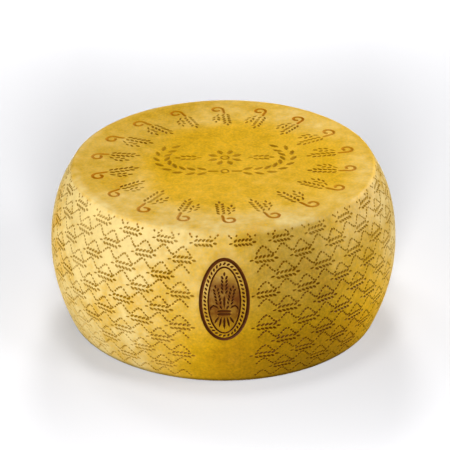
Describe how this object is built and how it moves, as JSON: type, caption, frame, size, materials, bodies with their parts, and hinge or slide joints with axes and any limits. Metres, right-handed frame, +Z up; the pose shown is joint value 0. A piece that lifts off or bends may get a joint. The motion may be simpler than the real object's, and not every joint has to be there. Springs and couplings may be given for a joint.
{
  "type": "grana padano cheese wheel",
  "caption": "Whole barrel-shaped wheel of hard aged cow's milk cheese, with flat faces, rounded edges and a golden rind that carries pressed wheat-ear ornament.",
  "frame": {"origin": "centre of the lower flat face, which the wheel rests on", "axes": "+Z up along the wheel's axis; -Y towards the oval brand on the side"},
  "size_m": [0.4406, 0.4398, 0.2069],
  "materials": {
    "rind": "golden, slightly waxy cheese rind"
  },
  "bodies": {
    "root": {"wheel": "rind"}
  },
  "joints": []
}
